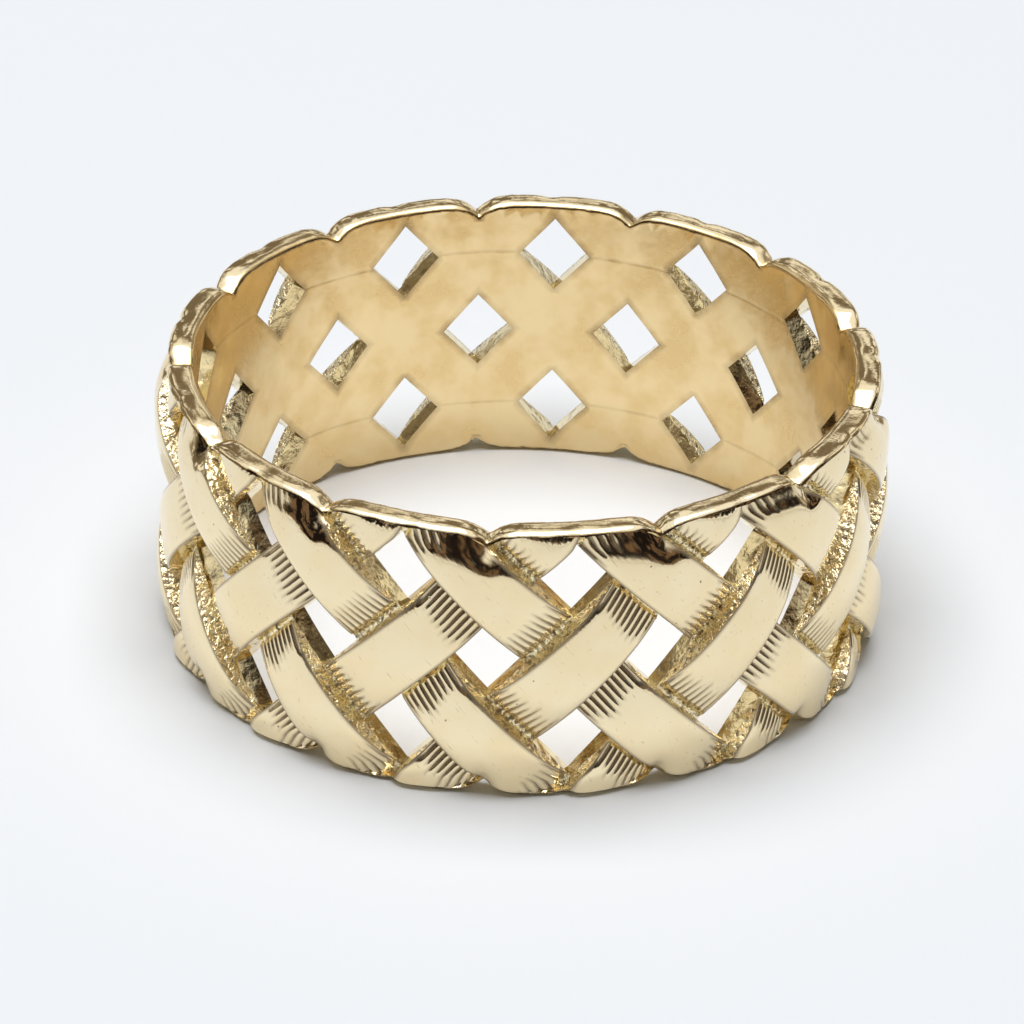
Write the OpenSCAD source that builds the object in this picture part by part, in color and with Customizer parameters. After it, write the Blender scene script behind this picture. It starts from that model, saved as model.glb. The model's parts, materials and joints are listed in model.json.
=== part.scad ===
// Woven band ring, cast in one piece and lying on its side.
// Millimetres and degrees. The finger axis is Z and the lower rim is at z = 0.
// Straps climb the band both ways round, pass over and under each other in
// turn and leave diamond gaps between them.

/* [Ring] */

// Inside diameter of the band, mm
inner_diameter = 19; // [14:0.1:24]
// Height of the band from rim to rim, mm
band_width = 8.5; // [6:0.1:12]
// Wall from the bore to the crown of a strap, mm
crown_wall = 1.15; // [0.9:0.05:2]

/* [Weave] */

// Diamond gaps in one row around the band
gaps_per_row = 13; // [10:1:16]
// Band width counted in rows of gaps
rows_per_band = 3.3; // [3.2:0.02:3.4]
// Strap width as a share of the distance between two straps
strap_share = 0.54; // [0.48:0.01:0.6]
// How much lower the ends of a strap lie than its crown, mm
end_drop = 0.5; // [0.3:0.02:0.6]
// How much lower the long edges of a strap lie than its middle, mm
edge_drop = 0.1; // [0:0.01:0.15]
// Angle from the front to the first gap, degrees
first_gap_angle = 8; // [0:1:27]

/* [Rim] */

// Rounding of the outer edge of each rim, mm
rim_rounding = 0.4; // [0.2:0.05:0.5]
// Rounding of the inner edge of each rim, mm
bore_rounding = 0.15; // [0.05:0.05:0.25]

/* [Hidden] */

bore_radius = inner_diameter / 2;
crown_radius = bore_radius + crown_wall;
mid_height = band_width / 2;
row_spacing = band_width / rows_per_band;
half_pitch_angle = 180 / gaps_per_row;

// Lengths on the weave count the distance between two crossings as 1
half_strap = strap_share / 2;
half_length = 1 - half_strap;
half_gap = 1 - strap_share;
// How late a strap falls from its crown to its ends: 1 is an even slope
end_curve = 2.2;

// Facets of one strap piece, across it and along each of its two bare ends
facets_across = 4;
facets_along_end = 3;
over_start = facets_along_end;
over_end = facets_along_end + facets_across;
facets_along = facets_across + 2 * facets_along_end;
lanes = [for (i = [0 : facets_across]) half_strap * (2 * i / facets_across - 1)];
end_stations = [for (i = [0 : facets_along_end - 1])
    half_length - (half_length - half_strap) * i / facets_along_end];
stations = concat(
    -end_stations,
    lanes,
    [for (i = [facets_along_end - 1 : -1 : 0]) end_stations[i]]);

// The outermost rows lie across the rims, which cut them
rim_row = 2;
pieces = [0 : gaps_per_row - 1];
// The gaps reach this far into the finger hollow, which opens them
gap_floor_radius = bore_radius - 0.4;
// The rounding of the rims starts this far outside the crowns, so that it
// meets the straps at an angle and never just touches them
rim_lead = 0.1;

bore_facets = 180;
corner_facets = 5;

function flatten(lists) = [for (list = lists) for (item = list) item];
function reverse(list) = [for (i = [len(list) - 1 : -1 : 0]) list[i]];
function fan(corners) = [for (i = [1 : len(corners) - 2]) [corners[0], corners[i], corners[i + 1]]];
function whole_turn(piece) = (piece + gaps_per_row) % gaps_per_row;

// Straps of even rows climb to the right, straps of odd rows fall
function odd(row) = abs(row) % 2;
function slope(row) = 1 - 2 * odd(row);

function weave_point(radius, place, row) =
    let (angle = first_gap_angle + place * half_pitch_angle)
    [radius * sin(angle), -radius * cos(angle), mid_height + row * row_spacing];

function strap_radius(along, across) =
    crown_radius
    - end_drop * pow(abs(along) / half_length, end_curve)
    - edge_drop * pow(across / half_strap, 2);

// Outer surface of the straps: rows, pieces around, stations along, lanes across
function first_station(row) = row == -rim_row ? over_start : 0;
function last_station(row) = row == rim_row ? over_end : facets_along;
function piece_size(row) = (last_station(row) - first_station(row) + 1) * len(lanes);
function row_start(row) =
    row == -rim_row ? 0 : row_start(row - 1) + gaps_per_row * piece_size(row - 1);
function strap_node(row, piece, station, lane) =
    row_start(row) + whole_turn(piece) * piece_size(row)
    + (station - first_station(row)) * len(lanes) + lane;

strap_points = [for (row = [-rim_row : rim_row], piece = pieces)
    for (station = [first_station(row) : last_station(row)], lane = [0 : facets_across])
    let (along = stations[station], across = lanes[lane])
    weave_point(
        strap_radius(along, across),
        2 * piece + odd(row) + along - slope(row) * across,
        row + slope(row) * along + across)];

strap_faces = flatten([for (row = [-rim_row : rim_row], piece = pieces)
    for (station = [first_station(row) : last_station(row) - 1], lane = [0 : facets_across - 1])
    fan([
        strap_node(row, piece, station, lane),
        strap_node(row, piece, station, lane + 1),
        strap_node(row, piece, station + 1, lane + 1),
        strap_node(row, piece, station + 1, lane)])]);

// Steps where the end of a strap dives under the one that crosses it.
// way is 1 for the end that lies further round the band, -1 for the other
function step_faces(row, piece, way) =
    let (
        rise = slope(row),
        over_row = row + way * rise,
        over_piece = piece + (way + odd(row) - odd(over_row)) / 2,
        over_lane = way == rise ? 0 : facets_across,
        station = way > 0 ? facets_along : 0)
    abs(over_row) > rim_row ? [] : flatten([for (lane = [0 : facets_across - 1])
        let (
            over = rise > 0 ? over_end - lane : over_start + lane,
            corners = [
                strap_node(row, piece, station, lane),
                strap_node(row, piece, station, lane + 1),
                strap_node(over_row, over_piece, over - rise, over_lane),
                strap_node(over_row, over_piece, over, over_lane)])
        fan(way > 0 ? corners : reverse(corners))]);

all_steps = flatten([for (row = [-rim_row : rim_row], piece = pieces, way = [-1, 1])
    step_faces(row, piece, way)]);

// Gaps. Corner 0 is at the bottom, then right, top and left, and side s runs
// from corner s to the next. A piece of strap centred at one of these two
// corners bounds it, and the gap's walls run down to a floor in the hollow
corner_place = [0, 1, 0, -1];
corner_row = [-1, 0, 1, 0];
gap_start = len(strap_points);
function floor_node(row, piece, corner) =
    gap_start + ((row + rim_row) * gaps_per_row + piece) * 4 + corner % 4;

gap_points = [for (row = [-rim_row : rim_row], piece = pieces, corner = [0 : 3])
    weave_point(
        gap_floor_radius,
        2 * piece + 1 - odd(row) + half_gap * corner_place[corner],
        row + half_gap * corner_row[corner])];

function is_lower(side) = side == 0 || side == 3;
function piece_at(row, piece, corner) =
    piece + (1 - odd(row) + corner_place[corner] - odd(row + corner_row[corner])) / 2;

function side_nodes(row, piece, side) =
    let (
        corner = (side + 1 - odd(row)) % 4,
        span = is_lower(side) == (odd(row) == 1) ? [over_end : facets_along] : [0 : over_start],
        nodes = [for (station = span)
            strap_node(
                row + corner_row[corner],
                piece_at(row, piece, corner),
                station,
                is_lower(side) ? facets_across : 0)])
    is_lower(side) ? nodes : reverse(nodes);

// The rims cut the outermost gaps, which have two sides each
function has_side(row, side) = abs(row) < rim_row || is_lower(side) == (row > 0);
function first_node(row, piece, side) =
    has_side(row, side % 4) ? [side_nodes(row, piece, side % 4)[0]] : [];
function last_node(row, piece, side) =
    let (nodes = side_nodes(row, piece, side % 4)) [nodes[len(nodes) - 1]];

function gap_wall(row, piece, side) =
    let (
        start = [floor_node(row, piece, side)],
        end = [floor_node(row, piece, side + 1)],
        nodes = side_nodes(row, piece, side))
    odd(row) == 1
        ? fan(concat(end, start, last_node(row, piece, side + 3), nodes))
        : fan(concat(start, nodes, first_node(row, piece, side + 1), end));

function floor_corners(row) =
    row == rim_row ? [0, 1, 3] : row == -rim_row ? [1, 2, 3] : [0, 1, 2, 3];
function gap_floor(row, piece) =
    fan([for (corner = floor_corners(row)) floor_node(row, piece, corner)]);

// Beyond the rims a flat wall closes each outermost gap
function rim_wall(row, piece) =
    let (
        left = strap_node(row, piece, over_end, 0),
        right = strap_node(row, piece + 1, over_start, facets_across))
    row > 0
        ? fan([right, left,
            side_nodes(row, piece, 3)[0], floor_node(row, piece, 3), floor_node(row, piece, 1)])
        : fan([left, right,
            side_nodes(row, piece, 1)[0], floor_node(row, piece, 1), floor_node(row, piece, 3)]);

all_gaps = flatten([for (row = [-rim_row : rim_row], piece = pieces)
    concat(
        gap_floor(row, piece),
        abs(row) == rim_row ? rim_wall(row, piece) : [],
        flatten([for (side = [0 : 3]) if (has_side(row, side)) gap_wall(row, piece, side)]))]);

// Beyond the rims the outer surface closes in a low cone to the axis
cone_start = gap_start + len(gap_points);
cone_points = [for (way = [-1, 1]) [0, 0, mid_height + way * (rim_row + 1) * row_spacing]];
top_edge = flatten([for (piece = pieces) concat(
    [for (station = [over_start : over_end]) strap_node(rim_row, piece, station, facets_across)],
    [for (lane = [facets_across - 1 : -1 : 0]) strap_node(rim_row, piece, over_end, lane)])]);
bottom_edge = flatten([for (piece = pieces) concat(
    [for (lane = [facets_across : -1 : 0]) strap_node(-rim_row, piece, over_start, lane)],
    [for (station = [over_start + 1 : over_end]) strap_node(-rim_row, piece, station, 0)])]);
function cone(apex, edge) =
    [for (i = [0 : len(edge) - 1]) [apex, edge[i], edge[(i + 1) % len(edge)]]];

// The faces of the gaps and the upper cone are listed the other way about
weave_faces = concat(
    strap_faces,
    all_steps,
    [for (face = all_gaps) reverse(face)],
    [for (face = cone(cone_start + 1, top_edge)) reverse(face)],
    cone(cone_start, bottom_edge));

module weave() {
    polyhedron(concat(strap_points, gap_points, cone_points), weave_faces);
}

// Section of the smooth band: straight bore, flat rims and rounded edges
function corner_arc(centre, radius, start) =
    [for (i = [0 : corner_facets])
        let (angle = start + 90 * i / corner_facets)
        centre + radius * [cos(angle), sin(angle)]];

module band() {
    bore_edge = bore_radius + bore_rounding;
    outer_edge = crown_radius + rim_lead - rim_rounding;
    rotate_extrude($fn = bore_facets)
        polygon(concat(
            corner_arc([bore_edge, bore_rounding], bore_rounding, 180),
            corner_arc([outer_edge, rim_rounding], rim_rounding, 270),
            corner_arc([outer_edge, band_width - rim_rounding], rim_rounding, 0),
            corner_arc([bore_edge, band_width - bore_rounding], bore_rounding, 90)));
}

module woven_band() {
    color("gold")
        intersection() {
            weave();
            band();
        }
}

woven_band();
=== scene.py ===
import json
import math

import bmesh
import bpy
import numpy as np
from mathutils import Matrix, Vector


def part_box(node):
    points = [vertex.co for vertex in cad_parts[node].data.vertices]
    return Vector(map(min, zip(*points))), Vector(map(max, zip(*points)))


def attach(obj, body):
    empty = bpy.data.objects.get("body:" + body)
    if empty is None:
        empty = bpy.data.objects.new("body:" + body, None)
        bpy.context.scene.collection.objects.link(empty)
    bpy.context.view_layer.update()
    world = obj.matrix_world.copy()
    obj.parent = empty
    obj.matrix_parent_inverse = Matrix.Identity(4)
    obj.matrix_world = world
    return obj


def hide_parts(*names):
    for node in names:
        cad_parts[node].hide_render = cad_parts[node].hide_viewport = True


# Woven gold band ring, lying flat on one rim. Metres, finger axis on Z
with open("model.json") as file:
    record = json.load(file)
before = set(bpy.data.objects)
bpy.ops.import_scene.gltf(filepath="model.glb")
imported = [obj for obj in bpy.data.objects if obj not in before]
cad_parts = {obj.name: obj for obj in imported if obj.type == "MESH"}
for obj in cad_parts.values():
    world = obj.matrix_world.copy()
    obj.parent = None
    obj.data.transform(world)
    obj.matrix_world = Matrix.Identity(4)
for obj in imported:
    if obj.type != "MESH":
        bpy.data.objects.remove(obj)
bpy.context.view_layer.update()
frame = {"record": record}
print("frame loaded")

mm = 0.001
fingerBore = next(mount for mount in frame["record"]["mounts"] if mount["name"] == "finger_bore")
lowest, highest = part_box("woven_band")

# The weave, in millimetres. Along a strap, 1 is the way from one crossing to the next.
# A place counts half pitches round the band, a row counts gaps from mid height up
band = {
    "boreRadius": fingerBore["dims"]["r_mm"],
    "crownRadius": 10.65,
    "width": round((highest[2] - lowest[2]) / mm, 3),
    "gapsAround": 13,
    "rows": 3.3,                      # band width in rows of gaps
    "lastRow": 2,                     # its straps are cut off by the rim
    "firstGap": math.radians(8),
    "halfStrap": 0.27,
    "step": 3.6,                      # from one crossing to the next
    "endDrop": 0.5,                   # ends of a strap below its crown
    "endCurve": 2.2,
    "edgeDrop": 0.1,                  # long edges below the middle
    "wornEdge": 0.065,                # how much of that lies in the worn corner
    "wornPower": 7,                   # and how tight the corner is
    "draft": 0.12,                    # lean of the straps' sides above the bed
    "curveInRow": 1.05,               # from this row on the band curves in to its rims
    "curveInRadius": 3.0,
    "shoulderRow": 1.36,              # and more tightly from this one
    "shoulderRadius": 0.9,
    "lowerShare": 0.3,                # the lower half curves in less
    "stillRadius": 9.75,              # what lies deeper than this stays as it is
}
half = band["halfStrap"]
reach = 1 - half                      # half length of one strap piece
gapMiddle = 0.5                       # way along to the middle of a gap's side
bedRadius = band["crownRadius"] - band["endDrop"] - band["edgeDrop"]
lastRow = band["lastRow"]
rimRow = band["rows"] / 2
rowSpacing = band["width"] / band["rows"]
placesPerPitch = 2

# V cuts and the rough bed at both ends of every strap piece
cuts = {
    "perEnd": 9,
    "depth": 0.075,
    "profile": (0.0, 0.2, 1.0, 0.2),  # depth of the four lanes of a cut, from ridge to ridge
    "lowBed": (0.662, 0.695),         # a falling end is whole up to here, on the bed from here
    "highBed": (0.695, 0.712),        # the same at an end that climbs
    "lowLength": 0.25,
    "underRim": 0.5,                  # those of the straps cut off by the top rim are shorter
    "highLength": 0.25,
    "spread": 0.2,                    # how much their lengths differ
    "fadePower": 0.55,
    "climbStart": 0.5,                # share of the depth that is left at the bed of a climbing end
    "climbRise": 2.2,
    "bend": 0.014,
    "bendFrom": 0.45,
    "grainLead": 0.012,               # the grain starts this far before the bed
    "castLead": 0.005,                # and the rough finish this far behind its start
    "paintedShade": 1.2,                     # how dark the painted shade in the cuts goes
    "edgeFade": 0.7,                  # the painted shade line on a strap's edge loses this much a lane
    "seed": 11,
}

# The rims, in millimetres, rows and places, with the notches at odd places. The section
# runs from outside to the bore, each point with its height below the top and its radius
rim = {
    "cutRow": 1.5253,                 # the weave ends here
    "lift": 0.06,                     # and is stretched this many rows higher between notches
    "liftFrom": 1.44,
    "dipFrom": 1.1,
    "columns": 36,
    "crowding": 0.5,                  # how much closer the columns stand at the notches
    "notchDepth": 0.39,
    "notchWidth": 0.155,
    "notchPower": 1.25,
    "notchIn": 0.14,
    "dentAt": 0.065,                  # a shallow dent outside, where two straps meet
    "dentWidth": 0.1,
    "dentDepth": 0.06,
    "dentIn": 0.06,
    "fullFrom": 0.8,                  # nearer the bore than this, notch and dent go in less
    "grain": 0.45,
    "insideStrips": 3,                # mesh strips that belong to the inside
    "snap": 1e-6,                     # a point this near the cut lies on it
    "tolerance": 1e-5,                # and an edge this near is part of the cut
    "section": [
        (0.13, 10.29),
        (0.075, 10.255),
        (0.035, 10.2),
        (0.012, 10.12),
        (0.003, 10.03),
        (0.0, 9.93),
        (0.0, 9.82),
        (0.006, 9.72),
        (0.022, 9.62),
        (0.06, 9.54),
        (0.14, 9.5),
    ],
}

# The walls of the gaps, from the bore up to the bed and on to a strap's edge
walls = {
    "levels": 3,                      # mesh rows up to the bed
    "stepLevels": 3,                  # and above it
    "smoothShare": 0.4,               # of the way up to the bed, from the bore
    "lowerStepGrain": 0.2,            # grain on the lower side of a strap
    "stainAndShade": 0.35,                    # painted shade inside, along the edge of a gap
    "cornerShade": 1.2,               # and how much faster it darkens to the corners
}

lanesPerCut = len(cuts["profile"])
laneCells = cuts["perEnd"] * lanesPerCut
lanes = np.linspace(-half, half, laneCells + 1)
crossingCells = 8
overLanes = np.linspace(-half, half, crossingCells + 1)

# Mesh rows along the bare end of a strap, closest where the cuts begin and at the bed
bareEnd = [half, 0.305, 0.34, 0.375, 0.41, 0.4375, 0.465, 0.49, 0.515, 0.55, 0.59, 0.63]
bareEnd += [cuts["lowBed"][0], 0.68, cuts["lowBed"][1], cuts["highBed"][1], reach]
innerEnd = [half, 0.385, gapMiddle, 0.615, reach]

# Finishes of a face, in the order of the materials. The last is gold darkened for painted shade, on
# the gap walls and the lower steps
polished, cast, satin, shadedWall = 0, 1, 2, 3


# Mesh rows along a whole piece, given those of one end
def wholePiece(end):
    return [-s for s in reversed(end)] + list(overLanes[1:-1]) + list(end)


stations = wholePiece(bareEnd)
innerStations = wholePiece(innerEnd)
draws = np.random.RandomState(cuts["seed"])
cutLengths = {
    (row, way): 1 + cuts["spread"] * draws.uniform(-1, 1, cuts["perEnd"])
    for row in range(-lastRow, lastRow + 1)
    for way in (-1, 1)
}


# From 0 to 1, slowly at both ends
def ease(x):
    x = min(1.0, max(0.0, x))
    return x * x * (3 - 2 * x)


# Straps of even rows climb to the right, straps of odd rows fall
def slopeOf(row):
    return 1 - 2 * (abs(row) % 2)


# The crossing strap hides more of the bed at an end that climbs
def bedSpan(row, along):
    return cuts["highBed"] if slopeOf(row) * along > 0 else cuts["lowBed"]


# Height of a strap's face over the finger axis, without its cuts
def strapRadius(row, along, across):
    worn = band["wornEdge"] * abs(across / half) ** band["wornPower"]
    gentle = (band["edgeDrop"] - band["wornEdge"]) * (across / half) ** 2
    top = band["crownRadius"] - band["endDrop"] * (abs(along) / reach) ** band["endCurve"]
    bedFrom, bedAt = bedSpan(row, along)
    share = ease((abs(along) - bedFrom) / (bedAt - bedFrom))
    return (top - gentle - worn) * (1 - share) + bedRadius * share


# Share of the V cuts' full depth at one lane. At an end that climbs they are deepest half way
def cutShare(row, along, lane):
    index = min(lane // lanesPerCut, cuts["perEnd"] - 1)
    length = cutLengths[(row, 1 if along > 0 else -1)][index]
    climbs = slopeOf(row) * along > 0
    length *= cuts["highLength" if climbs else "lowLength"]
    if row == lastRow:
        length *= cuts["underRim"]
    way = (bedSpan(row, along)[1] - abs(along)) / length
    if way > 1 or way < 0:
        return 0.0
    fade = (1 - way) ** cuts["fadePower"]
    if climbs:
        start = cuts["climbStart"]
        fade *= start + (1 - start) * min(1.0, cuts["climbRise"] * way)
    return cuts["profile"][lane % lanesPerCut] * fade


# Near the rims the outer surface curves in towards the finger
def curvedIn(row, radius):
    inward = 0.0
    for start, curve in (("curveInRow", "curveInRadius"), ("shoulderRow", "shoulderRadius")):
        past = max(0.0, (abs(row) - band[start]) * rowSpacing)
        inward += past ** 2 / (2 * band[curve]) * (1 if row > 0 else band["lowerShare"])
    share = (radius - band["stillRadius"]) / (band["crownRadius"] - band["stillRadius"])
    return radius - inward * min(1.0, max(0.0, share))


# The ends of the weave rise to the rims and dip at the notches
def toRim(place, row, radius):
    away = abs(row)
    fromNotch = place % placesPerPitch - 1
    dip = math.exp(-((abs(fromNotch) / rim["notchWidth"]) ** rim["notchPower"]))
    rise = rim["lift"] * ease((away - rim["liftFrom"]) / (rim["cutRow"] - rim["liftFrom"]))
    share = ease((away - rim["dipFrom"]) / (rim["cutRow"] - rim["dipFrom"]))
    fall = rim["notchDepth"] / rowSpacing - rim["lift"]
    away += rise * (1 - dip) - fall * dip * share
    outward = min(1.0, max(0.0, (radius - band["boreRadius"]) / rim["fullFrom"]))
    fromDent = (place - math.copysign(rim["dentAt"], row) + 1) % placesPerPitch - 1
    dent = math.exp(-(fromDent / rim["dentWidth"]) ** 2) * share * outward ** 2
    away -= rim["dentDepth"] / rowSpacing * dent
    inward = rim["notchIn"] * dip * share * outward + rim["dentIn"] * dent
    return place, math.copysign(away, row), radius - inward


# One pitch of the band, laid out flat as points of (place, row, radius)
class Pitch:
    def __init__(self):
        self.points = []
        self.grains = []              # how much of the cast grain a point takes
        self.paintedShades = []              # and how much painted shade it takes
        self.faces = []
        self.finishes = []
        self.known = {}

    def point(self, place, row, radius, grain, paintedShade=0.0):
        key = (round(place, 5), round(row, 5), round(radius, 4))
        if key not in self.known:
            self.known[key] = len(self.points)
            self.points.append((place, row, radius))
            self.grains.append(grain)
            self.paintedShades.append(paintedShade)
        index = self.known[key]
        self.grains[index] = min(self.grains[index], grain)
        self.paintedShades[index] = max(self.paintedShades[index], paintedShade)
        return index

    # A point of a strap piece, whose sides lean in above the bed
    def onPiece(self, piece, along, across, radius, grain, paintedShade=0.0):
        above = max(0.0, radius - bedRadius) / band["step"]
        across = across * (1 - band["draft"] * above / half)
        place, row = piece
        slope = slopeOf(row)
        place += along - slope * across
        return self.point(place, row + slope * along + across, radius, grain, paintedShade)

    def face(self, corners, finish, flip):
        kept = [corner for i, corner in enumerate(corners) if corner != corners[i - 1]]
        if len(set(kept)) > 2:
            self.faces.append(kept[::-1] if flip else kept)
            self.finishes.append(finish)


# Corners of the faces between two rows of (way along, point), which may differ in number
def between(lower, upper):
    if len(lower) == len(upper):
        for a, b, c, d in zip(lower, upper, upper[1:], lower[1:]):
            yield a[1], b[1], c[1], d[1]
        return
    i, j = 0, 0
    while i < len(lower) - 1 or j < len(upper) - 1:
        lowerNext = lower[i + 1][0] if i < len(lower) - 1 else math.inf
        upperNext = upper[j + 1][0] if j < len(upper) - 1 else math.inf
        if lowerNext <= upperNext:
            yield lower[i][1], upper[j][1], lower[i + 1][1]
            i += 1
        else:
            yield lower[i][1], upper[j][1], upper[j + 1][1]
            j += 1


# The face of a strap piece, with its cuts and the rough bed at both ends
def addTop(pitch, piece):
    row = piece[1]
    grid = []
    for along in stations:
        line = []
        bedFrom, bedAt = bedSpan(row, along)
        grain = ease((abs(along) - bedFrom + cuts["grainLead"]) / (bedAt - bedFrom))
        toEnd = ease((abs(along) - cuts["bendFrom"]) / (bedAt - cuts["bendFrom"]))
        bend = 0 if abs(along) == reach else cuts["bend"] * toEnd
        for lane, across in enumerate(lanes):
            share = cutShare(row, along, lane)
            radius = strapRadius(row, along, across) - cuts["depth"] * share
            bent = across + bend * (1 - (across / half) ** 2)
            # Painted shade in the valleys of the cuts and along the strap's edges
            edge = max(0.0, 1 - cuts["edgeFade"] * min(lane, laneCells - lane))
            paintedShade = min(1.0, max(cuts["paintedShade"] * share, edge))
            line.append(pitch.onPiece(piece, along, bent, radius, grain, paintedShade))
        grid.append(line)
    for s, (a, b) in enumerate(zip(grid, grid[1:])):
        middle = (stations[s] + stations[s + 1]) / 2
        finish = cast if abs(middle) > bedSpan(row, middle)[0] + cuts["castLead"] else polished
        for lane in range(laneCells):
            pitch.face((a[lane], b[lane], b[lane + 1], a[lane + 1]), finish, False)
    return grid


# The part of the bore under a strap piece
def addInside(pitch, piece):
    grid = []
    for along in innerStations:
        line = []
        for across in overLanes:
            # Painted shade along the edges of the gaps, darker towards their corners
            atGap = abs(along) >= half and abs(across) == half
            toCorner = abs(abs(along) - gapMiddle)
            paintedShade = walls["stainAndShade"] + walls["cornerShade"] * toCorner if atGap else 0.0
            line.append(pitch.onPiece(piece, along, across, band["boreRadius"], 0.0, paintedShade))
        grid.append(line)
    for a, b in zip(grid, grid[1:]):
        for lane in range(len(overLanes) - 1):
            pitch.face((a[lane], b[lane], b[lane + 1], a[lane + 1]), satin, True)


# Rows of points on a piece's side between the bed and its top edge
def stepRows(pitch, piece, side, places, grain):
    rows = []
    for level in range(1, walls["stepLevels"]):
        row = []
        for along in places:
            top = strapRadius(piece[1], along, half)
            radius = bedRadius + (top - bedRadius) * level / walls["stepLevels"]
            row.append((along, pitch.onPiece(piece, along, side * half, radius, grain)))
        rows.append(row)
    return rows


# Sides of the bare ends of a piece, from its top edge down to the bore
def addSides(pitch, piece, grid):
    depth = bedRadius - band["boreRadius"]
    levels = walls["levels"]
    smooth = walls["smoothShare"]
    for way in (-1, 1):
        for side in (-1, 1):
            fine = bareEnd if way > 0 else [-s for s in reversed(bareEnd)]
            coarse = innerEnd if way > 0 else [-s for s in reversed(innerEnd)]
            lane = laneCells if side > 0 else 0
            rows = []
            for level in range(levels + 1):
                radius = bedRadius - depth * (levels - level) / levels
                grain = max(0.0, level / levels - smooth) / (1 - smooth)
                rows.append([
                    (along, pitch.onPiece(piece, along, side * half, radius, grain))
                    for along in (fine if level == levels else coarse)
                ])
            rows += stepRows(pitch, piece, side, fine, 1.0)
            rows.append([(along, grid[stations.index(along)][lane]) for along in fine])
            for level, (lower, upper) in enumerate(zip(rows, rows[1:])):
                # Below the bed the walls take gold darkened for painted shade
                finish = cast if level >= levels else shadedWall
                for corners in between(lower, upper):
                    pitch.face(corners, finish, side < 0)


# Sides of a piece above the ends that dive under it, rough on the upper side only. The lower side
# takes gold darkened for painted shade
def addSteps(pitch, piece, grid):
    for side in (-1, 1):
        if abs(piece[1] + side) > lastRow:
            continue
        lane = laneCells if side > 0 else 0
        first = stations.index(-half)
        # The lower side takes gold darkened for painted shade
        grain, finish = (1.0, cast) if side > 0 else (walls["lowerStepGrain"], shadedWall)
        rows = [[(s, pitch.onPiece(piece, s, side * half, bedRadius, grain)) for s in lanes]]
        rows += stepRows(pitch, piece, side, lanes, grain)
        rows.append([(s, grid[first + i][lane]) for i, s in enumerate(overLanes)])
        for lower, upper in zip(rows, rows[1:]):
            for corners in between(lower, upper):
                pitch.face(corners, finish, side < 0)


# One pitch of the weave as a mesh, still without rims and flat
def flatPitch():
    pitch = Pitch()
    for row in range(-lastRow, lastRow + 1):
        piece = (row % 2, row)
        grid = addTop(pitch, piece)
        addInside(pitch, piece)
        addSides(pitch, piece, grid)
        addSteps(pitch, piece, grid)
    mesh = bmesh.new()
    grainLayer = mesh.verts.layers.float.new("grain")
    paintedShadeLayer = mesh.verts.layers.float.new("paintedShade")
    finishLayer = mesh.faces.layers.int.new("finish")
    verts = []
    for (place, row, radius), grain, paintedShade in zip(pitch.points, pitch.grains, pitch.paintedShades):
        vert = mesh.verts.new((place, row, curvedIn(row, radius)))
        vert[grainLayer] = grain
        vert[paintedShadeLayer] = paintedShade
        verts.append(vert)
    for corners, finish in zip(pitch.faces, pitch.finishes):
        face = mesh.faces.new([verts[corner] for corner in corners])
        face[finishLayer] = finish
    return mesh


# Where the rim's plane has cut the pitch: one chain of points at the bore, one outside
def cutChains(mesh, level):
    near = {}
    for edge in mesh.edges:
        onLevel = all(abs(v.co.y - level) < rim["tolerance"] for v in edge.verts)
        if len(edge.link_faces) == 1 and onLevel:
            for vert in edge.verts:
                near.setdefault(vert, []).append(edge.other_vert(vert))
    ends = sorted((v for v in near if len(near[v]) == 1), key=lambda v: v.co.x)
    chains = []
    for start in ends[:2]:
        chain = [start]
        seen = {start}
        while True:
            ahead = [v for v in near[chain[-1]] if v not in seen]
            if not ahead:
                break
            chain.append(ahead[0])
            seen.add(ahead[0])
        chains.append(chain)
    chains.sort(key=lambda chain: sum(v.co.z for v in chain) / len(chain))
    return chains


# The weave is cut off at a rim, which its section closes from the outside to the bore
def addRim(mesh, side):
    bmesh.ops.bisect_plane(
        mesh,
        geom=mesh.verts[:] + mesh.edges[:] + mesh.faces[:],
        dist=rim["snap"],
        plane_co=(0, side * rim["cutRow"], 0),
        plane_no=(0, side, 0),
        clear_outer=True,
    )
    grainLayer = mesh.verts.layers.float["grain"]
    finishLayer = mesh.faces.layers.int["finish"]
    inner, outer = cutChains(mesh, side * rim["cutRow"])
    rows = [[(v.co.x, v) for v in outer]]
    for below, radius in rim["section"]:
        line = []
        for column in range(rim["columns"] + 1):
            place = outer[0].co.x + placesPerPitch * column / rim["columns"]
            place -= rim["crowding"] / math.pi * math.sin(math.pi * (place - 1))
            row = rimRow - rim["lift"] - below / rowSpacing
            vert = mesh.verts.new((place, side * row, radius))
            vert[grainLayer] = rim["grain"]
            line.append((place, vert))
        rows.append(line)
    rows.append([(v.co.x, v) for v in inner])
    for level, (lower, upper) in enumerate(zip(rows, rows[1:])):
        for corners in between(lower, upper):
            face = mesh.faces.new(corners[::-1] if side > 0 else corners)
            face[finishLayer] = satin if level >= len(rows) - 1 - rim["insideStrips"] else polished


def pitchObject():
    mesh = flatPitch()
    for side in (-1, 1):
        addRim(mesh, side)
    for vert in mesh.verts:
        vert.co = toRim(*vert.co)
    data = bpy.data.meshes.new("wovenBand")
    mesh.to_mesh(data)
    mesh.free()
    thing = bpy.data.objects.new("wovenBand", data)
    bpy.context.scene.collection.objects.link(thing)
    print("one pitch has", len(data.vertices), "points and", len(data.polygons), "faces")
    return thing


# A node with its settings and inputs. An input is a value or another node's output
def addNode(tree, kind, inputs=None, **settings):
    node = tree.nodes.new(kind)
    for name, value in settings.items():
        setattr(node, name, value)
    for key, value in (inputs or {}).items():
        if isinstance(value, bpy.types.NodeSocket):
            tree.links.new(value, node.inputs[key])
        else:
            node.inputs[key].default_value = value
    return node


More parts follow.
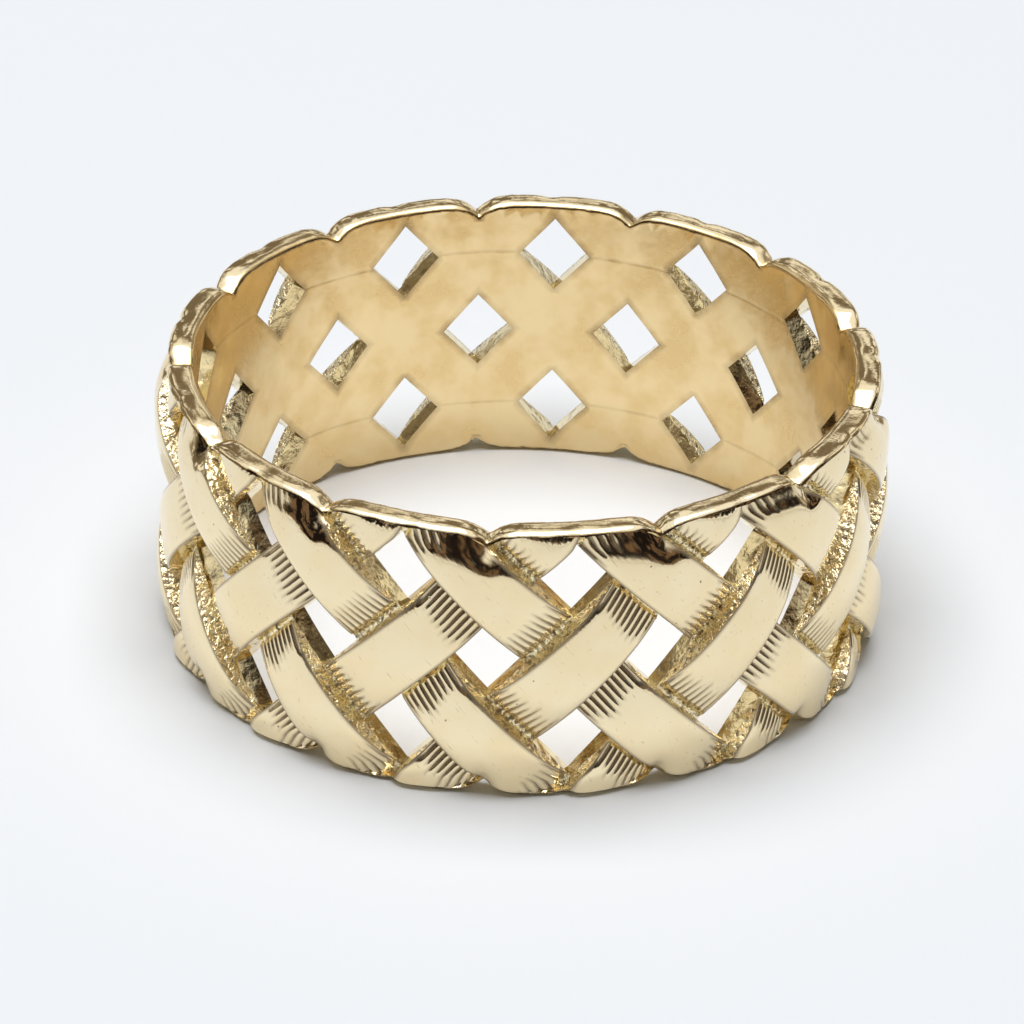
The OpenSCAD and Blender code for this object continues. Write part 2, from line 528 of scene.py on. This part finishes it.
# The result of one sum, whose values are numbers or other nodes' outputs
def maths(tree, operation, *values):
    return addNode(tree, "ShaderNodeMath", dict(enumerate(values)), operation=operation).outputs[0]


# Inputs of the geometry tree, in metres and radians
finishSizes = {
    "Gaps around": band["gapsAround"],
    "First gap": band["firstGap"],
    "Band width": band["width"] * mm,
    "Row spacing": rowSpacing * mm,
    "Grain height": 0.03 * mm,
    "Grain size": 0.2 * mm,
    "Ripple height": 0.007 * mm,
    "Ripple size": 1.3 * mm,
    "Crisp angle": math.radians(42),
    "Merge distance": 0.002 * mm,
    "Seed": 4.0,
}
noiseSwing = 4.0                      # noise stays near its middle, so it is spread this much


# The flat pitch is wrapped round the finger
def wrapPitch(tree, given, perPlace):
    position = addNode(tree, "GeometryNodeInputPosition").outputs[0]
    flat = addNode(tree, "ShaderNodeSeparateXYZ", {0: position})
    angle = maths(tree, "MULTIPLY_ADD", flat.outputs["X"], perPlace, given["First gap"])
    radius = maths(tree, "MULTIPLY", flat.outputs["Z"], mm)
    towards = maths(tree, "MULTIPLY", radius, maths(tree, "COSINE", angle))
    middle = maths(tree, "DIVIDE", given["Band width"], 2.0)
    place = addNode(tree, "ShaderNodeCombineXYZ", {
        "X": maths(tree, "MULTIPLY", radius, maths(tree, "SINE", angle)),
        "Y": maths(tree, "MULTIPLY", towards, -1.0),
        "Z": maths(tree, "MULTIPLY_ADD", flat.outputs["Y"], given["Row spacing"], middle),
    })
    return addNode(tree, "GeometryNodeSetPosition", {
        "Geometry": given["Geometry"],
        "Position": place.outputs[0],
    }).outputs[0]


# One copy for each gap around, joined into one skin
def copyPitch(tree, given, perPlace, wrapped):
    spots = addNode(tree, "GeometryNodeMeshLine", {
        "Count": given["Gaps around"],
        "Offset": (0, 0, 0),
    })
    index = addNode(tree, "GeometryNodeInputIndex").outputs[0]
    turn = addNode(tree, "ShaderNodeCombineXYZ", {
        "Z": maths(tree, "MULTIPLY", index, maths(tree, "MULTIPLY", perPlace, placesPerPitch)),
    })
    copies = addNode(tree, "GeometryNodeInstanceOnPoints", {
        "Points": spots.outputs[0],
        "Instance": wrapped,
        "Rotation": turn.outputs[0],
    })
    whole = addNode(tree, "GeometryNodeRealizeInstances", {"Geometry": copies.outputs[0]})
    return addNode(tree, "GeometryNodeMergeByDistance", {
        "Geometry": whole.outputs[0],
        "Distance": given["Merge distance"],
    }).outputs[0]


# Crisp edges stay crisp
def keepCrisp(tree, given, skin):
    bendAngle = addNode(tree, "GeometryNodeInputMeshEdgeAngle").outputs["Unsigned Angle"]
    return addNode(tree, "GeometryNodeStoreNamedAttribute", {
        "Geometry": skin,
        "Name": "sharp_edge",
        "Value": maths(tree, "GREATER_THAN", bendAngle, given["Crisp angle"]),
    }, data_type="BOOLEAN", domain="EDGE").outputs[0]


# Cast grain on the rough parts, a slow ripple on the polished ones
def addRelief(tree, given, skin):
    grain = addNode(tree, "GeometryNodeInputNamedAttribute", {"Name": "grain"}, data_type="FLOAT")
    share = grain.outputs[0]
    position = addNode(tree, "GeometryNodeInputPosition").outputs[0]
    offsets = []
    for height, size, amount in (
        ("Grain height", "Grain size", share),
        ("Ripple height", "Ripple size", maths(tree, "SUBTRACT", 1.0, share)),
    ):
        noise = addNode(tree, "ShaderNodeTexNoise", {
            "Vector": position,
            "W": given["Seed"],
            "Scale": maths(tree, "DIVIDE", 1.0, given[size]),
            "Detail": 1.0,
        }, noise_dimensions="4D")
        swing = maths(tree, "MULTIPLY_ADD", noise.outputs[0], noiseSwing, -noiseSwing / 2)
        offsets.append(maths(tree, "MULTIPLY", maths(tree, "MULTIPLY", swing, given[height]), amount))
    normal = addNode(tree, "GeometryNodeInputNormal").outputs[0]
    outwards = addNode(tree, "ShaderNodeVectorMath", {
        0: normal,
        "Scale": maths(tree, "ADD", *offsets),
    }, operation="SCALE")
    return addNode(tree, "GeometryNodeSetPosition", {
        "Geometry": skin,
        "Offset": outwards.outputs[0],
    }).outputs[0]


# Every face takes the material of its finish
def setFinishes(tree, given, materials, skin):
    finish = addNode(tree, "GeometryNodeInputNamedAttribute", {"Name": "finish"}, data_type="INT")
    number = next(s for s in finish.outputs if s.enabled)
    for wanted, name in enumerate(materials):
        chosen = addNode(tree, "FunctionNodeCompare", data_type="INT", operation="EQUAL")
        first, second = [s for s in chosen.inputs if s.enabled]
        tree.links.new(number, first)
        second.default_value = wanted
        skin = addNode(tree, "GeometryNodeSetMaterial", {
            "Geometry": skin,
            "Selection": chosen.outputs[0],
            "Material": given[name],
        }).outputs[0]
    return skin


# From one flat pitch to the whole band
def bandTree(materials):
    tree = bpy.data.node_groups.new("wovenBandAround", "GeometryNodeTree")
    tree.is_modifier = True
    tree.interface.new_socket("Geometry", in_out="INPUT", socket_type="NodeSocketGeometry")
    for name, value in finishSizes.items():
        kind = "NodeSocketInt" if isinstance(value, int) else "NodeSocketFloat"
        tree.interface.new_socket(name, in_out="INPUT", socket_type=kind)
    for name in materials:
        tree.interface.new_socket(name, in_out="INPUT", socket_type="NodeSocketMaterial")
    tree.interface.new_socket("Geometry", in_out="OUTPUT", socket_type="NodeSocketGeometry")
    given = tree.nodes.new("NodeGroupInput").outputs
    perPlace = maths(tree, "DIVIDE", math.tau / placesPerPitch, given["Gaps around"])
    wrapped = wrapPitch(tree, given, perPlace)
    skin = copyPitch(tree, given, perPlace, wrapped)
    skin = addRelief(tree, given, keepCrisp(tree, given, skin))
    smooth = addNode(tree, "GeometryNodeSetShadeSmooth", {"Geometry": skin}).outputs[0]
    finished = setFinishes(tree, given, materials, smooth)
    tree.links.new(finished, tree.nodes.new("NodeGroupOutput").inputs[0])
    return tree


# The tree's result becomes the ring's own plain mesh
def wrapBand(thing, materials):
    for material in materials.values():
        thing.data.materials.append(material)
    modifier = thing.modifiers.new("around", "NODES")
    modifier.node_group = bandTree(materials)
    values = {**finishSizes, **materials}
    for item in modifier.node_group.interface.items_tree:
        if item.in_out == "INPUT" and item.name in values:
            modifier[item.identifier] = values[item.name]
    graph = bpy.context.evaluated_depsgraph_get()
    result = bpy.data.meshes.new_from_object(thing.evaluated_get(graph))
    thing.modifiers.clear()
    thing.data = result
    return thing


# A value carried from one range to another and held at its ends
def mapRange(tree, value, fromMin, fromMax, toMin=0.0, toMax=1.0, smooth=False):
    node = addNode(tree, "ShaderNodeMapRange", {
        "Value": value,
        "From Min": fromMin,
        "From Max": fromMax,
        "To Min": toMin,
        "To Max": toMax,
    }, interpolation_type="SMOOTHSTEP" if smooth else "LINEAR")
    return node.outputs[0]


def mixColour(tree, share, first, second):
    node = addNode(tree, "ShaderNodeMix", data_type="RGBA")
    for socket, value in zip([s for s in node.inputs if s.enabled], (share, first, second)):
        if isinstance(value, bpy.types.NodeSocket):
            tree.links.new(value, socket)
        else:
            socket.default_value = value
    return next(s for s in node.outputs if s.enabled)


# Colours of the gold, and sizes of its grain and wear in millimetres
gold = {
    "colour": (0.93, 0.795, 0.53, 1),
    "warm": (0.88, 0.69, 0.38, 1),
    "inside": (0.835, 0.66, 0.37, 1),
    "insideWarm": (0.78, 0.58, 0.285, 1),
    # Darker gold for painted shade on the gap walls and the lower steps
    "shadedWall": (0.87, 0.73, 0.42, 1),
    "bright": (1.0, 0.9, 0.62, 1),
    "dull": (0.92, 0.76, 0.45, 1),
    # Dark brown for pits, scratches and seams, and for painted shade in the cuts, along the straps'
    # edges, round the gaps inside and in the hollows of the grain
    "stainAndShade": (0.15, 0.085, 0.04, 1),
    "stainAndShadeMetallic": 0.25,            # the stains and the painted shade are hardly metal
    "grainSize": 0.14,
    "wearSize": 1.6,
}


# An empty group of shader nodes, with its sockets and the place on the piece
def newGroup(name, inputs, outputs):
    tree = bpy.data.node_groups.new(name, "ShaderNodeTree")
    for label, value in inputs.items():
        socket = tree.interface.new_socket(label, in_out="INPUT", socket_type="NodeSocketFloat")
        socket.default_value = value
    for label in outputs:
        tree.interface.new_socket(label, in_out="OUTPUT", socket_type="NodeSocketFloat")
    given = tree.nodes.new("NodeGroupInput").outputs
    result = tree.nodes.new("NodeGroupOutput").inputs
    place = addNode(tree, "ShaderNodeTexCoord").outputs["Object"]
    return tree, given, result, place


# Noise whose lumps have a size in millimetres
def noiseTexture(tree, place, size, detail=2.0, roughness=0.5):
    return addNode(tree, "ShaderNodeTexNoise", {
        "Vector": place,
        "Scale": maths(tree, "DIVIDE", 1 / mm, size),
        "Detail": detail,
        "Roughness": roughness,
    }).outputs[0]


# The inputs are in millimetres
grainLook = {
    "inputs": {"Grain size": gold["grainSize"], "Patch size": 0.5},
    "detail": 3.0,
    "roughness": 0.6,
    "hollows": 0.75,                  # hollows to a lump, along a line
    "hollowDepth": 0.5,
    "hollowRange": (0.35, 0.6),
    "hollowShadeRange": (0.48, 0.38),
    "patchRange": (0.4, 0.62),
}


# Lumps, painted shade in the hollows between them, and dull patches of a rough cast surface
def castingGrain():
    outputs = ("Height", "Hollow shade", "Patches")
    tree, given, result, place = newGroup("castingGrain", grainLook["inputs"], outputs)
    fine = noiseTexture(tree, place, given["Grain size"], grainLook["detail"], grainLook["roughness"])
    patches = noiseTexture(tree, place, given["Patch size"])
    hollow = addNode(tree, "ShaderNodeTexVoronoi", {
        "Vector": place,
        "Scale": maths(tree, "DIVIDE", grainLook["hollows"] / mm, given["Grain size"]),
    }).outputs["Distance"]
    # Painted shade where the grain is low and sunk
    low = mapRange(tree, fine, *grainLook["hollowShadeRange"])
    hollowShade = maths(tree, "MULTIPLY", low, mapRange(tree, hollow, *grainLook["hollowRange"]))
    sunk = maths(tree, "MULTIPLY", hollow, grainLook["hollowDepth"])
    tree.links.new(maths(tree, "SUBTRACT", fine, sunk), result["Height"])
    tree.links.new(hollowShade, result["Hollow shade"])
    tree.links.new(mapRange(tree, patches, *grainLook["patchRange"], smooth=True), result["Patches"])
    return tree


# The inputs are in millimetres
wearLook = {
    "inputs": {"Wear size": gold["wearSize"], "Pit spacing": 0.62, "Pit radius": 0.04},
    "detail": 3.0,
    "roughness": 0.6,
    "hazeRange": (0.35, 0.68),
    "pitFloor": 0.4,                  # share of a pit's radius that is flat
    "noPit": 0.45,                    # share of the cells that have none
    "markTurn": (0.2, 0.7, 0.0),
    "markStretch": (1.0, 1.0, 0.12),
    "marksPerHaze": 20.0,             # marks to a patch of haze
}


# Haze, small pits and fine marks of a surface that has been polished and worn
def handWear():
    tree, given, result, place = newGroup("handWear", wearLook["inputs"], ("Haze", "Pits", "Marks"))
    haze = noiseTexture(tree, place, given["Wear size"], wearLook["detail"], wearLook["roughness"])
    cell = addNode(tree, "ShaderNodeTexVoronoi", {
        "Vector": place,
        "Scale": maths(tree, "DIVIDE", 1 / mm, given["Pit spacing"]),
    })
    edge = maths(tree, "DIVIDE", given["Pit radius"], given["Pit spacing"])
    floor = maths(tree, "MULTIPLY", edge, wearLook["pitFloor"])
    pit = mapRange(tree, cell.outputs["Distance"], edge, floor)
    chance = addNode(tree, "ShaderNodeSeparateColor", {0: cell.outputs["Color"]}).outputs[0]
    pits = maths(tree, "MULTIPLY", pit, maths(tree, "GREATER_THAN", chance, wearLook["noPit"]))
    turned = addNode(tree, "ShaderNodeMapping", {"Vector": place, "Rotation": wearLook["markTurn"]})
    stretched = addNode(tree, "ShaderNodeMapping", {
        "Vector": turned.outputs[0],
        "Scale": wearLook["markStretch"],
    })
    markSize = maths(tree, "DIVIDE", given["Wear size"], wearLook["marksPerHaze"])
    marks = noiseTexture(tree, stretched.outputs[0], markSize)
    tree.links.new(mapRange(tree, haze, *wearLook["hazeRange"], smooth=True), result["Haze"])
    tree.links.new(pits, result["Pits"])
    tree.links.new(marks, result["Marks"])
    return tree


def newMaterial(name):
    material = bpy.data.materials.new(name)
    material.use_nodes = True
    tree = material.node_tree
    shader = tree.nodes["Principled BSDF"]
    shader.inputs["Metallic"].default_value = 1.0
    return material, tree, shader


def useGroup(tree, group, values):
    node = tree.nodes.new("ShaderNodeGroup")
    node.node_tree = group
    for label, value in values.items():
        node.inputs[label].default_value = value
    return node.outputs


# Relief in a normal. The distance is in millimetres
def bump(tree, height, distance, after=None):
    inputs = {"Height": height, "Distance": distance * mm}
    if after:
        inputs["Normal"] = after
    return addNode(tree, "ShaderNodeBump", inputs).outputs[0]


# How much painted shade a point takes: in the cuts, along the straps' edges and round the gaps inside
def paintedShadeShare(tree, most):
    paintedShade = addNode(tree, "ShaderNodeAttribute", attribute_name="paintedShade")
    return maths(tree, "MULTIPLY", paintedShade.outputs["Fac"], most)


# The gold's own colour, with dark marks and painted shade mixed in
def addStainAndShade(tree, shader, dark, base):
    tree.links.new(mixColour(tree, dark, base, gold["stainAndShade"]), shader.inputs["Base Color"])
    metallic = mapRange(tree, dark, 0, 1, 1.0, gold["stainAndShadeMetallic"])
    tree.links.new(metallic, shader.inputs["Metallic"])


polish = {
    "grainSize": gold["grainSize"] * 2,
    "haze": 0.4,
    "pits": 0.45,
    "scratches": 0.2,
    "scratchRange": (0.66, 0.76),
    "paintedShade": 0.85,
    "roughness": (0.05, 0.13),        # clean and hazed
    "stainAndShadeRoughness": 0.3,            # and this much more where it is dark
    "unevenHeight": 0.0022,
    "markHeight": 0.0025,
    "pitDepth": 0.015,
}


# The faces of the straps and the rims
def polishedGold(effects):
    material, tree, shader = newMaterial("polishedGold")
    wear = useGroup(tree, effects["wear"], {"Wear size": gold["wearSize"]})
    scratched = mapRange(tree, wear["Marks"], *polish["scratchRange"], 0.0, polish["scratches"])
    darkening = maths(tree, "MAXIMUM", maths(tree, "MULTIPLY", wear["Pits"], polish["pits"]), scratched)
    # Darker for pits and scratches, and for painted shade in the cuts and along the straps' edges
    dark = maths(tree, "MAXIMUM", darkening, paintedShadeShare(tree, polish["paintedShade"]))
    hazed = maths(tree, "MULTIPLY", wear["Haze"], polish["haze"])
    addStainAndShade(tree, shader, dark, mixColour(tree, hazed, gold["colour"], gold["warm"]))
    clean = mapRange(tree, wear["Haze"], 0, 1, *polish["roughness"])
    rough = maths(tree, "MULTIPLY_ADD", dark, polish["stainAndShadeRoughness"], clean)
    tree.links.new(rough, shader.inputs["Roughness"])
    grain = useGroup(tree, effects["grain"], {"Grain size": polish["grainSize"]})
    uneven = bump(tree, grain["Height"], polish["unevenHeight"])
    marked = bump(tree, wear["Marks"], polish["markHeight"], after=uneven)
    pitted = bump(tree, maths(tree, "MULTIPLY", wear["Pits"], -1.0), polish["pitDepth"], after=marked)
    tree.links.new(pitted, shader.inputs["Normal"])
    return material


castBed = {
    "hollowShade": 0.9,
    "roughness": (0.08, 0.22),        # bright and dull patches
    "height": 0.06,
}


# The rough bed at the ends of the straps and the upper steps down to it
def castGold(effects):
    material, tree, shader = newMaterial("castGold")
    grain = useGroup(tree, effects["grain"], {"Grain size": gold["grainSize"]})
    base = mixColour(tree, grain["Patches"], gold["bright"], gold["dull"])
    # Painted shade in the hollows of the grain
    addStainAndShade(tree, shader, maths(tree, "MULTIPLY", grain["Hollow shade"], castBed["hollowShade"]), base)
    rough = mapRange(tree, grain["Patches"], 0, 1, *castBed["roughness"])
    tree.links.new(rough, shader.inputs["Roughness"])
    tree.links.new(bump(tree, grain["Height"], castBed["height"]), shader.inputs["Normal"])
    return material


bore = {
    "wearSize": gold["wearSize"] * 0.8,
    "pitSpacing": 1.4,
    "grainSize": gold["grainSize"] * 3,
    "paintedShade": 0.9,
    "unhazedShade": 0.4,                # share of it where there is no haze
    "pits": 0.5,
    "roughness": (0.16, 0.28),
    "height": 0.006,
    "seamWidth": 0.09,
    "seamWaver": 0.5,                 # range in which they bow up and down
    "seamBow": 5.0,                   # and the length of a bow
    "seamFade": 0.4,                  # share of a seam that is left where there is no haze
    "seam": 0.2,
    "seamDepth": 0.004,
}


# Two fine seams round the inside, at the height of the upper and the lower row of gaps
def seamShare(tree, fade):
    place = addNode(tree, "ShaderNodeTexCoord").outputs["Object"]
    height = addNode(tree, "ShaderNodeSeparateXYZ", {0: place}).outputs["Z"]
    away = maths(tree, "ABSOLUTE", maths(tree, "SUBTRACT", height, band["width"] / 2 * mm))
    bow = maths(tree, "SUBTRACT", noiseTexture(tree, place, bore["seamBow"], 0.0), 0.5)
    level = maths(tree, "MULTIPLY_ADD", bow, bore["seamWaver"] * mm, rowSpacing * mm)
    off = maths(tree, "ABSOLUTE", maths(tree, "SUBTRACT", away, level))
    line = mapRange(tree, off, bore["seamWidth"] * mm, 0.0, smooth=True)
    return maths(tree, "MULTIPLY", line, mapRange(tree, fade, 0, 1, bore["seamFade"], 1))


# The inside of the ring
def satinGold(effects):
    material, tree, shader = newMaterial("satinGold")
    wear = useGroup(tree, effects["wear"], {
        "Wear size": bore["wearSize"],
        "Pit spacing": bore["pitSpacing"],
    })
    grain = useGroup(tree, effects["grain"], {"Grain size": bore["grainSize"]})
    clean = mapRange(tree, wear["Haze"], 0, 1, bore["unhazedShade"], 1)
    # Painted shade round the gaps, weaker where there is no haze
    spread = maths(tree, "MULTIPLY", paintedShadeShare(tree, bore["paintedShade"]), clean)
    darkening = maths(tree, "MAXIMUM", maths(tree, "MULTIPLY", wear["Pits"], bore["pits"]), spread)
    seam = seamShare(tree, wear["Haze"])
    dark = maths(tree, "MAXIMUM", darkening, maths(tree, "MULTIPLY", seam, bore["seam"]))
    addStainAndShade(tree, shader, dark, mixColour(tree, wear["Haze"], gold["inside"], gold["insideWarm"]))
    rough = mapRange(tree, wear["Haze"], 0, 1, *bore["roughness"])
    tree.links.new(rough, shader.inputs["Roughness"])
    uneven = bump(tree, grain["Height"], bore["height"])
    sunk = bump(tree, maths(tree, "MULTIPLY", seam, -1.0), bore["seamDepth"], after=uneven)
    tree.links.new(sunk, shader.inputs["Normal"])
    return material


gapWalls = {
    "grainSize": gold["grainSize"] * 3,
    "hollowShade": 0.4,
    "roughness": 0.12,
    "height": 0.018,
}


# Gold darkened for painted shade, on the walls of the gaps below the rough bed and on the lower steps
# above it, with painted shade in the hollows of its grain
def shadedWallGold(effects):
    material, tree, shader = newMaterial("shadedWallGold")
    grain = useGroup(tree, effects["grain"], {"Grain size": gapWalls["grainSize"]})
    dark = maths(tree, "MULTIPLY", grain["Hollow shade"], gapWalls["hollowShade"])
    tree.links.new(mixColour(tree, dark, gold["shadedWall"], gold["stainAndShade"]), shader.inputs["Base Color"])
    shader.inputs["Roughness"].default_value = gapWalls["roughness"]
    tree.links.new(bump(tree, grain["Height"], gapWalls["height"]), shader.inputs["Normal"])
    return material


# The materials stand in the order of the finishes
effects = {"grain": castingGrain(), "wear": handWear()}
makers = (polishedGold, castGold, satinGold, shadedWallGold)
materials = {material.name: material for material in (make(effects) for make in makers)}
print("materials are", ", ".join(materials))
ring = wrapBand(pitchObject(), materials)
print("ring has", len(ring.data.vertices), "points and", len(ring.data.polygons), "faces")
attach(ring, "root")
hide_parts("woven_band")

# Camera at the photograph's angle, in millimetres. It is turned round Z to face the same gap
camera = {
    "eye": (0.0, -153.5, 91.63),
    "target": (-0.274, -0.425, 3.504),
    "turn": math.radians(-0.65),
    "roll": math.radians(0.997),
    "lens": 213.4,
    "sensor": 36.0,
    "nearest": 10.0,
}


def addCamera():
    turn = Matrix.Rotation(camera["turn"], 3, "Z")
    eye = turn @ Vector(camera["eye"]) * mm
    forward = (turn @ Vector(camera["target"]) * mm - eye).normalized()
    level = forward.cross(Vector((0, 0, 1))).normalized()
    up = level.cross(forward)
    right = level * math.cos(camera["roll"]) + up * math.sin(camera["roll"])
    up = right.cross(forward)
    data = bpy.data.cameras.new("photoCamera")
    data.lens = camera["lens"]
    data.sensor_width = camera["sensor"]
    data.sensor_fit = "HORIZONTAL"
    data.clip_start = camera["nearest"] * mm
    thing = bpy.data.objects.new("photoCamera", data)
    thing.matrix_world = Matrix.Translation(eye) @ Matrix((right, up, -forward)).transposed().to_4x4()
    bpy.context.scene.collection.objects.link(thing)
    bpy.context.scene.camera = thing


addCamera()
bpy.context.scene.view_settings.view_transform = "Standard"

# Floor, room and lamp, in metres
studio = {
    "floorSize": 3.0,
    "floorBelow": 0.02 * mm,          # just clear of the rim that lies on it
    "floorColour": (0.86, 0.885, 0.92, 1),
    "floorRoughness": 0.9,
    "floorGloss": 0.1,
    "room": 0.07,                     # light from all round on matt things
    "sky": (1.0, 1.0, 1.0, 1),        # what the gold mirrors: overhead, in front, behind
    "front": (0.012, 0.009, 0.008, 1),
    "frontPatch": (0.17, 0.11, 0.07, 1),
    "back": (0.19, 0.15, 0.1, 1),
    "backPatch": (0.95, 0.92, 0.85, 1),
    "frontRange": (-0.2, 0.15),       # from behind to in front, as a cosine
    "rightShare": 0.3,                # the front reaches this much further on the right
    "patches": 4.5,
    "frontPatches": (0.52, 0.58),
    "backPatches": (0.5, 0.56),
    "lowEdge": (-0.12, 0.02),         # where the dark begins above the horizon, behind and in front
    "edgeWidth": (0.2, 0.06),
    "highEdge": (0.8, 0.62),
    "lampX": -0.05,
    "lampHeight": 0.75,
    "lampSize": 0.65,
    "lampPower": 6.6,
}


def addFloor():
    mesh = bmesh.new()
    bmesh.ops.create_grid(mesh, x_segments=1, y_segments=1, size=studio["floorSize"] / 2)
    bmesh.ops.translate(mesh, verts=mesh.verts, vec=(0, 0, -studio["floorBelow"]))
    data = bpy.data.meshes.new("floor")
    mesh.to_mesh(data)
    mesh.free()
    floor = bpy.data.objects.new("floor", data)
    bpy.context.scene.collection.objects.link(floor)
    material = bpy.data.materials.new("palePaper")
    material.use_nodes = True
    shader = material.node_tree.nodes["Principled BSDF"]
    shader.inputs["Base Color"].default_value = studio["floorColour"]
    shader.inputs["Roughness"].default_value = studio["floorRoughness"]
    shader.inputs["Specular IOR Level"].default_value = studio["floorGloss"]
    data.materials.append(material)


# Pale all round. Reflections alone see the darker room that stands round the table
def addWorld():
    world = bpy.data.worlds.new("studio")
    bpy.context.scene.world = world
    world.use_nodes = True
    tree = world.node_tree
    tree.nodes.clear()
    way = addNode(tree, "ShaderNodeTexCoord").outputs["Generated"]
    x, y, z = addNode(tree, "ShaderNodeSeparateXYZ", {0: way}).outputs
    level = maths(tree, "ADD", maths(tree, "MULTIPLY", x, x), maths(tree, "MULTIPLY", y, y))
    towards = maths(tree, "DIVIDE", maths(tree, "MULTIPLY", y, -1.0), maths(tree, "SQRT", level))
    toRight = maths(tree, "MAXIMUM", x, 0.0)
    shifted = maths(tree, "MULTIPLY_ADD", toRight, studio["rightShare"], towards)
    front = mapRange(tree, shifted, *studio["frontRange"], smooth=True)
    noise = addNode(tree, "ShaderNodeTexNoise", {
        "Vector": way,
        "Scale": studio["patches"],
        "Detail": 2.0,
    }).outputs[0]
    few = mapRange(tree, noise, *studio["frontPatches"], smooth=True)
    many = mapRange(tree, noise, *studio["backPatches"], smooth=True)
    frontColour = mixColour(tree, few, studio["front"], studio["frontPatch"])
    backColour = mixColour(tree, many, studio["back"], studio["backPatch"])
    room = mixColour(tree, front, backColour, frontColour)
    lowEdge = mapRange(tree, front, 0, 1, *studio["lowEdge"])
    edge = mapRange(tree, front, 0, 1, *studio["edgeWidth"])
    above = mapRange(tree, z, lowEdge, maths(tree, "ADD", lowEdge, edge), smooth=True)
    below = mapRange(tree, z, *studio["highEdge"], smooth=True)
    share = maths(tree, "MULTIPLY", above, below)
    glossy = addNode(tree, "ShaderNodeLightPath").outputs["Is Glossy Ray"]
    colour = mixColour(tree, maths(tree, "MULTIPLY", share, glossy), studio["sky"], room)
    strength = mapRange(tree, glossy, 0, 1, studio["room"], 1)
    back = addNode(tree, "ShaderNodeBackground", {"Color": colour, "Strength": strength})
    out = addNode(tree, "ShaderNodeOutputWorld")
    tree.links.new(back.outputs[0], out.inputs["Surface"])


def addLamp():
    data = bpy.data.lights.new("softBox", "AREA")
    data.energy = studio["lampPower"]
    data.size = studio["lampSize"]
    lamp = bpy.data.objects.new("softBox", data)
    lamp.location = (studio["lampX"], 0.0, studio["lampHeight"])
    bpy.context.scene.collection.objects.link(lamp)


addFloor()
addWorld()
addLamp()
print("floor, light and camera are in")
